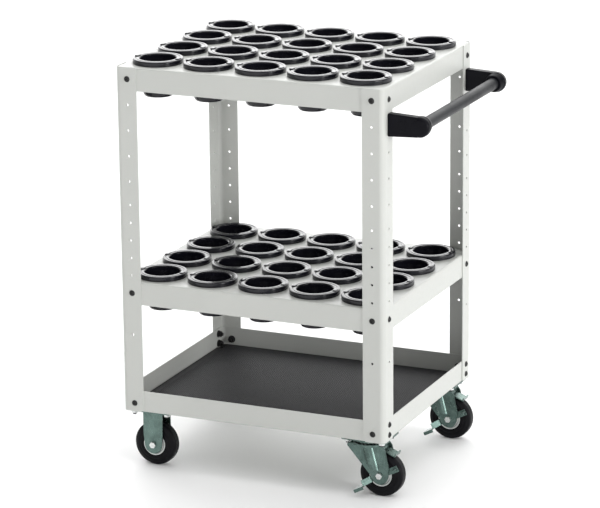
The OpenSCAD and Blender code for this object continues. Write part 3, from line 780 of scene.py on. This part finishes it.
class TROLLEY_OT_handle(bpy.types.Operator):
    """Makes the handle: two elbow brackets, a bar with ribbed collars, and the caps"""

    bl_idname = "trolley.handle"
    bl_label = "Handle"

    def execute(self, context):
        low_bar, high_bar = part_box("handle_bar")
        bar_r = (high_bar.x - low_bar.x) / 2
        bar_x, bar_z = (low_bar.x + high_bar.x) / 2, (low_bar.z + high_bar.z) / 2
        low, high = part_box("front_handle_bracket")
        root_half = (high.z - low.z) / 2
        end_r = root_half - 2.5 * MM
        reach = bar_x - low.x - 3 * MM
        arm = sections_along(
            arm_sections(reach, BRACKET_THICK, root_half, end_r - 0.6 * MM, 3 * MM)
        )
        elbow = moved(arm, Matrix.Translation((low.x, low.y + BRACKET_THICK / 2, bar_z)))
        run = high.y - low.y
        mouth_r = bar_r + 0.1 * MM
        outline = rounded_outline(
            [
                (0.0, -0.4 * MM),
                (end_r, -0.4 * MM),
                (end_r, 16 * MM),
                (end_r - 1.6 * MM, 17 * MM),
                (end_r - 1.6 * MM, 19 * MM),
                (end_r - 0.8 * MM, 20 * MM),
                (bar_r + 5.2 * MM, run),
                (mouth_r, run),
                (mouth_r, 6 * MM),
                (0.0, 6 * MM),
            ],
            np.array([0, 9.5, 1, 0.5, 0.5, 1, 2, 0.6, 0.2, 0]) * MM,
        )
        lay = Matrix.Translation((bar_x, low.y, bar_z)) @ Matrix.Rotation(math.radians(-90), 4, "X")
        collar = moved(turned(outline, 72), lay)
        flip = Matrix.Diagonal((1, -1, 1, 1))
        for end, side in (("front", Matrix.Identity(4)), ("rear", flip)):
            bracket = piece(
                f"{end}_elbow_bracket",
                [moved(elbow, side), moved(collar, side)],
                "trolley",
                finish_of("handle_plastic"),
            )
            finish_piece(bracket, "handle_plastic", f"{end}_handle_bracket")
        half = high_bar.y
        wall = rectangle(1 * MM, half) + (bar_r - 1 * MM, 0)
        tube = rounded_outline(wall, [0.4 * MM] * 4)
        lay = Matrix.Translation((bar_x, 0, bar_z)) @ Matrix.Rotation(math.radians(90), 4, "X")
        bar = piece("handle_tube", [moved(turned(tube, 64), lay)], "trolley", finish_of("bar_coating"))
        finish_piece(bar, "bar_coating", "handle_bar")
        dress("handle_caps", "handle_plastic", 0.6 * MM)
        return {"FINISHED"}


def button_screw_patch(head_r, head_h, shank_r, shank):
    """A button-head screw about Z, its head's seat at z = 0.

    The dome is the arc r(t) = R sin t, z(t) = h - R (1 - cos t), and the socket is a hexagon whose
    points pull the innermost rings in from a circle.
    """
    dome = (head_r**2 + head_h**2) / (2 * head_h)
    most = math.asin(head_r / dome)
    first = math.asin((SOCKET_R + 0.5 * MM) / dome)
    t = np.linspace(first, most * 0.985, 9)
    arc = np.stack([dome * np.sin(t), head_h - dome * (1 - np.cos(t))], axis=-1)
    floor_z, wall_top = head_h - 2.9 * MM, arc[0, 1] - 0.1 * MM
    socket = [(0, floor_z), (SOCKET_R, floor_z + 0.3 * MM), (SOCKET_R, wall_top)]
    shank_end = [(shank_r, -shank + 0.8 * MM), (shank_r - 0.8 * MM, -shank), (0, -shank)]
    seat = [(head_r, 0.1 * MM), (head_r - 0.2 * MM, 0), (shank_r, 0)]
    outline = np.vstack([socket, arc, seat, shank_end])
    angle = np.linspace(0, 2 * math.pi, 36, endpoint=False)
    hexagon = math.cos(math.pi / 6) / np.cos((angle % (math.pi / 3)) - math.pi / 6)
    scale = np.ones((len(outline), len(angle)))
    scale[1:3] = hexagon
    r = outline[:, :1] * scale
    points = np.stack(
        [r * np.cos(angle), r * np.sin(angle), np.broadcast_to(outline[:, 1:], r.shape)], axis=-1
    )
    return grid_patch(points, wrap_v=True)


def islands(node):
    """The low and high corner of each separate solid of a node.

    Corners at one place, to a micron, are one vertex. Each vertex starts with its own label, and
    each edge gives both its ends the smaller label, until no label changes.
    """
    mesh = NODES[node].data
    co = np.empty(len(mesh.vertices) * 3)
    mesh.vertices.foreach_get("co", co)
    co = co.reshape(-1, 3)
    ends = np.empty(len(mesh.edges) * 2, int)
    mesh.edges.foreach_get("vertices", ends)
    _, place = np.unique(np.round(co * 1e6).astype(int), axis=0, return_inverse=True)
    place = place.reshape(-1)
    ends = place[ends.reshape(-1, 2)]
    label = np.arange(place.max() + 1)
    changed = True
    while changed:
        smaller = label.copy()
        least = label[ends].min(axis=1)
        np.minimum.at(smaller, ends[:, 0], least)
        np.minimum.at(smaller, ends[:, 1], least)
        smaller = smaller[smaller]
        changed = bool((smaller != label).any())
        label = smaller
    solid = label[place]
    return [(co[solid == k].min(0), co[solid == k].max(0)) for k in np.unique(solid)]


class TROLLEY_OT_screws(bpy.types.Operator):
    """Makes the button-head screws of the trays and blackens the other fixings"""

    bl_idname = "trolley.screws"
    bl_label = "Screws and Nuts"

    def execute(self, context):
        tray_low, tray_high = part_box("upper_tool_tray")
        middle = (tray_low + tray_high) / 2
        unit = button_screw_patch(BUTTON_HEAD_R, BUTTON_HEAD_HEIGHT, SCREW_R, SCREW_LENGTH)
        for node in BUTTON_SCREWS:
            placed = []
            for low, high in islands(node):
                seat = Vector((low + high) / 2)
                axis = int(np.argmax(high - low))
                outward = Vector((0, 0, 0))
                outward[axis] = 1.0 if seat[axis] > middle[axis] else -1.0
                tip = high[axis] if outward[axis] > 0 else low[axis]
                seat[axis] = tip - outward[axis] * BUTTON_HEAD_HEIGHT
                turn = outward.to_track_quat("Z", "Y").to_matrix().to_4x4()
                placed.append(moved(unit, Matrix.Translation(seat) @ turn))
            name = node.replace("_screws", "_button_screws")
            screws = piece(name, placed, "trolley", finish_of("black_screw"))
            finish_piece(screws, "black_screw", node)
        for node in BLACK_FIXINGS:
            dress(node, "black_screw", 0.3 * MM)
        return {"FINISHED"}


def tyre_outline(radius, inner, half):
    """Well rounded shoulders, a flat tread and a stepped side wall, as (r, z)."""
    side = [
        (inner, half - 1.0 * MM),
        (inner + 2.5 * MM, half - 1.0 * MM),
        (inner + 3.5 * MM, half),
        (inner + 8 * MM, half),
        (inner + 9 * MM, half - 0.9 * MM),
        (inner + 14 * MM, half - 0.4 * MM),
        (radius - 1.2 * MM, half - 4.5 * MM),
    ]
    crown = [(radius, half * 0.42), (radius, -half * 0.42)]
    corners = side + crown + [(r, -z) for r, z in side[::-1]]
    soft = [0.3, 0.6, 0.6, 0.6, 0.6, 5, 5]
    return rounded_outline(corners, np.array(soft + [9, 9] + soft[::-1]) * MM, 6)


def hub_outline(radius, bore, half):
    """The steel centre: bore, boss, dished web with a bead, and a rolled lip, as (r, z)."""
    side = [
        (bore, half),
        (12.5 * MM, half),
        (13.2 * MM, half - 3 * MM),
        (16.5 * MM, half - 3.4 * MM),
        (18.5 * MM, half - 2.2 * MM),
        (20.5 * MM, half - 3.4 * MM),
        (22.0 * MM, half - 3.0 * MM),
        (23.2 * MM, half),
        (radius - 0.4 * MM, half),
        (radius, half - 0.8 * MM),
    ]
    soft = np.array([0.4, 0.8, 0.8, 1.5, 2, 1.5, 0.8, 0.8, 0.5, 0.3])
    corners = side + [(r, -z) for r, z in side[::-1]]
    return rounded_outline(corners, np.r_[soft, soft[::-1]] * MM, 4)


class TROLLEY_OT_wheels(bpy.types.Operator):
    """Makes the four wheels: a solid tyre on a plated steel centre"""

    bl_idname = "trolley.wheels"
    bl_label = "Wheels"

    def execute(self, context):
        for name, place in wheel_places():
            low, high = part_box(f"{name}_tyre")
            hub_low, hub_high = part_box(f"{name}_hub")
            half = (high.y - low.y) / 2
            hub_r = (hub_high.x - hub_low.x) / 2
            turn = along_axle(place)
            outline = tyre_outline((high.x - low.x) / 2, hub_r + 0.05 * MM, half)
            tyre = piece(
                f"{name}_solid_tyre",
                [moved(turned(outline, 128), turn)],
                f"{name}_wheel",
                finish_of("tyre_rubber"),
            )
            finish_piece(tyre, "tyre_rubber", f"{name}_tyre")
            outline = hub_outline(hub_r, BUSH_HOLE_R, (hub_high.y - hub_low.y) / 2)
            centre = piece(
                f"{name}_wheel_centre",
                [moved(turned(outline, 96), turn)],
                f"{name}_wheel",
                finish_of("hub_steel"),
            )
            finish_piece(centre, "hub_steel", f"{name}_hub")
        return {"FINISHED"}


class TROLLEY_OT_casters(bpy.types.Operator):
    """Plates the forks, plates, levers, shoes, bolts and balls of the casters"""

    bl_idname = "trolley.casters"
    bl_label = "Caster Metal"

    def execute(self, context):
        edge = context.scene.trolley.pressing_edge
        for node in ZINC_PRESSINGS:
            dress(node, "caster_zinc", edge)
        for node in BRIGHT_PARTS:
            dress(node, "bright_zinc", 0.4 * MM)
        dress("swivel_balls", "ball_steel", smooth=60)
        return {"FINISHED"}


class TROLLEY_OT_stage(bpy.types.Operator):
    """Sets up the pale floor, the soft lamps, the world and the camera"""

    bl_idname = "trolley.stage"
    bl_label = "Stage"

    def execute(self, context):
        settings = context.scene.trolley
        reach = 40.0
        mesh = bpy.data.meshes.new("studio_floor")
        corners = [(-reach, -reach, 0), (reach, -reach, 0), (reach, reach, 0), (-reach, reach, 0)]
        mesh.from_pydata(corners, [], [(0, 1, 2, 3)])
        mesh.materials.append(floor_finish())
        floor = bpy.data.objects.new("studio_floor", mesh)
        context.scene.collection.objects.link(floor)
        self.world(context)
        self.lamps(context, settings.lamp_power)
        self.camera(context)
        context.scene.view_settings.view_transform = "Standard"
        return {"FINISHED"}

    def world(self, context):
        """A soft sky with one broad bright patch behind the trolley, for gloss to show.

        Its strength goes from low to high as the cosine of the angle to the patch's middle goes
        from 0.55 to 0.95.
        """
        world = bpy.data.worlds.new("studio_sky")
        world.use_nodes = True
        tree = world.node_tree
        place = tree.nodes.new("ShaderNodeTexCoord")
        nearness = tree.nodes.new("ShaderNodeVectorMath")
        nearness.operation = "DOT_PRODUCT"
        nearness.inputs[1].default_value = (-0.37, 0.84, 0.39)
        spread = tree.nodes.new("ShaderNodeMapRange")
        spread.inputs["From Min"].default_value = 0.55
        spread.inputs["From Max"].default_value = 0.95
        spread.inputs["To Min"].default_value = 0.30
        spread.inputs["To Max"].default_value = 3.0
        tree.links.new(place.outputs["Generated"], nearness.inputs[0])
        tree.links.new(nearness.outputs["Value"], spread.inputs["Value"])
        background = tree.nodes["Background"]
        background.inputs["Color"].default_value = (1.0, 1.0, 1.0, 1.0)
        tree.links.new(spread.outputs["Result"], background.inputs["Strength"])
        context.scene.world = world

    def lamps(self, context, power):
        """Broad soft suns overhead, on the handle end and in front, and a small one for glints."""
        plan = [
            ("overhead_lamp", (0.1, -0.1, 1.0), 80, power * 1.5),
            ("side_lamp", (1.0, -0.20, 0.09), 36, power * 2.6),
            ("front_lamp", (0.15, -1.0, 0.10), 30, power * 0.45),
            ("glint_lamp", (0.95, -0.15, 0.9), 9, power * 0.35),
        ]
        for name, toward, width, strength in plan:
            data = bpy.data.lights.new(name, "SUN")
            data.angle = math.radians(width)
            data.energy = strength
            lamp = bpy.data.objects.new(name, data)
            lamp.location = Vector(toward) * 3
            lamp.rotation_mode = "QUATERNION"
            lamp.rotation_quaternion = Vector(toward).to_track_quat("Z", "Y")
            context.scene.collection.objects.link(lamp)

    def camera(self, context):
        """A long lens from the front right, at 16 degrees above the horizon."""
        turn, rise, roll = math.radians(23.84), math.radians(15.84), math.radians(-0.58)
        distance = 7.2128
        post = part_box("front_left_post")
        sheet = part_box("bottom_tray")
        base = Vector(((sheet[0].x + sheet[1].x) / 2, 0, post[0].z))
        aim = base + Vector((0.0048, 0, 0.3246))
        back = Vector(
            (math.sin(turn) * math.cos(rise), -math.cos(turn) * math.cos(rise), math.sin(rise))
        )
        right = Vector((math.cos(turn), math.sin(turn), 0))
        up = back.cross(right)
        right, up = (
            right * math.cos(roll) + up * math.sin(roll),
            up * math.cos(roll) - right * math.sin(roll),
        )
        data = bpy.data.cameras.new("camera")
        data.sensor_width = 36.0
        data.lens = 194.4
        data.clip_end = 200.0
        camera = bpy.data.objects.new("camera", data)
        camera.matrix_world = Matrix.Translation(aim + back * distance) @ Matrix(
            (right, up, back)
        ).transposed().to_4x4()
        context.scene.collection.objects.link(camera)
        context.scene.camera = camera


class TROLLEY_PT_panel(bpy.types.Panel):
    """Lists the settings and the steps in the sidebar"""

    bl_label = "Tool Holder Trolley"
    bl_idname = "TROLLEY_PT_panel"
    bl_space_type = "VIEW_3D"
    bl_region_type = "UI"
    bl_category = "Trolley"

    def draw(self, context):
        settings = context.scene.trolley
        for name in TrolleySettings.__annotations__:
            self.layout.prop(settings, name)
        for step in STEPS:
            self.layout.operator(step.bl_idname)


STEPS = (
    TROLLEY_OT_stage,
    TROLLEY_OT_sheet_metal,
    TROLLEY_OT_sleeves,
    TROLLEY_OT_mat,
    TROLLEY_OT_handle,
    TROLLEY_OT_screws,
    TROLLEY_OT_wheels,
    TROLLEY_OT_casters,
)


def register():
    for kind in (TrolleySettings, *STEPS, TROLLEY_PT_panel):
        bpy.utils.register_class(kind)
    bpy.types.Scene.trolley = bpy.props.PointerProperty(type=TrolleySettings)


def unregister():
    del bpy.types.Scene.trolley
    for kind in (TROLLEY_PT_panel, *reversed(STEPS), TrolleySettings):
        bpy.utils.unregister_class(kind)


def main():
    """Builds the whole trolley."""
    register()
    for step in STEPS:
        group, name = step.bl_idname.split(".")
        getattr(getattr(bpy.ops, group), name)()


if __name__ == "__main__":
    main()
